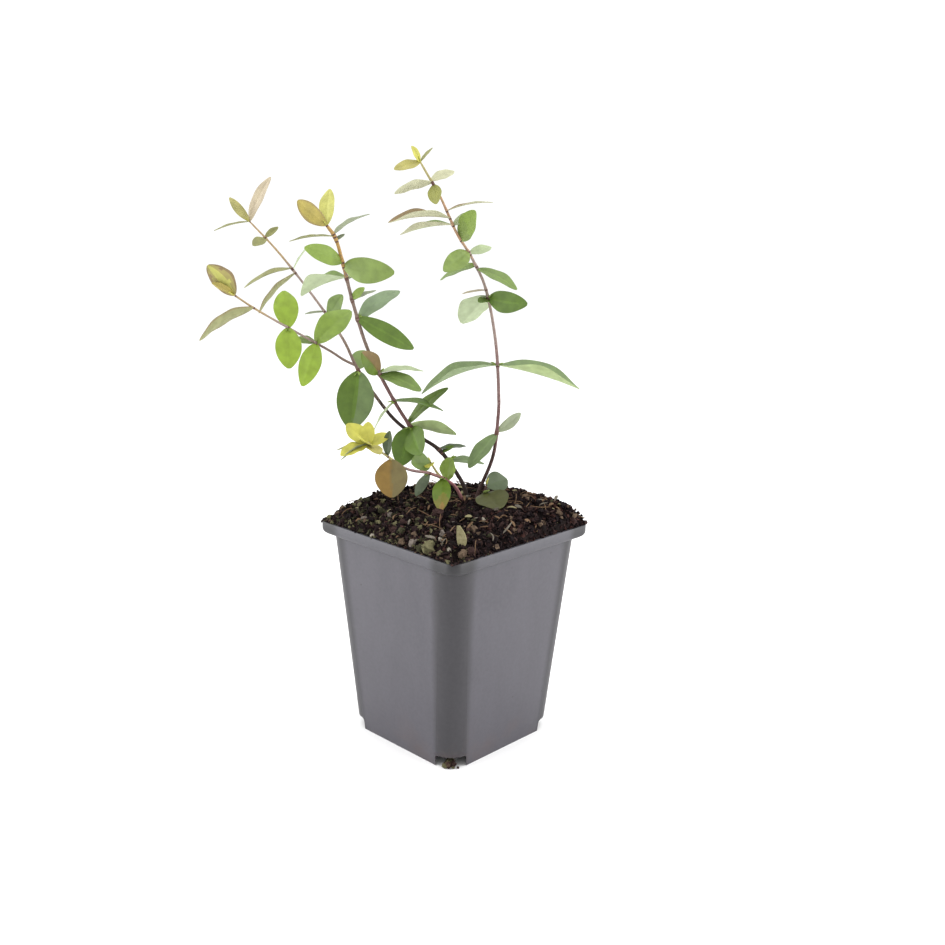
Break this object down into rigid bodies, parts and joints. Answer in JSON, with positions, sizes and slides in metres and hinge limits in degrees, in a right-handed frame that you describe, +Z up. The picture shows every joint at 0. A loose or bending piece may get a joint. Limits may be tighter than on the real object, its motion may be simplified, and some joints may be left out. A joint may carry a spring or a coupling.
{
  "type": "potted st johns wort shrub",
  "caption": "Young st johns wort shrub with slender arching shoots and oval leaves in pairs, rooted in a square tapered nursery pot heaped with compost.",
  "frame": {"origin": "middle of the pot's flat underside", "axes": "+Z straight up; the pot's sides lie along X and Y, and the pictured corner points to +X -Y"},
  "size_m": [0.1515, 0.1506, 0.2717],
  "materials": {
    "pot_plastic": "moulded recycled polypropylene, satin, mid grey",
    "compost": "damp dark peat compost, crumbly",
    "bark": "smooth young bark, reddish brown, darker at the foot",
    "foliage": "matt to satin leaves, mid green, paler beneath, yellow and bronze at the tips"
  },
  "bodies": {
    "root": {"pot": "pot_plastic", "compost": "compost", "right_stem": "bark", "right_bough": "bark", "right_upper_bough": "bark", "left_stem": "bark", "left_upper_stem": "bark", "left_bough": "bark", "left_bough_tip": "bark", "middle_bough": "bark", "side_bough": "bark", "side_bough_tip": "bark", "low_stem": "bark", "low_bough": "bark", "right_low_leaves": "foliage", "right_paired_leaves": "foliage", "right_mid_leaves": "foliage", "right_top_leaves": "foliage", "left_inner_leaves": "foliage", "left_mid_leaves": "foliage", "left_upper_leaves": "foliage", "left_top_leaves": "foliage", "middle_low_leaves": "foliage", "middle_upper_leaves": "foliage", "middle_top_leaves": "foliage", "side_mid_leaves": "foliage", "side_top_leaves": "foliage", "low_inner_leaves": "foliage", "low_top_leaves": "foliage", "inner_twig_leaves": "foliage", "foot_leaves": "foliage"}
  },
  "joints": []
}
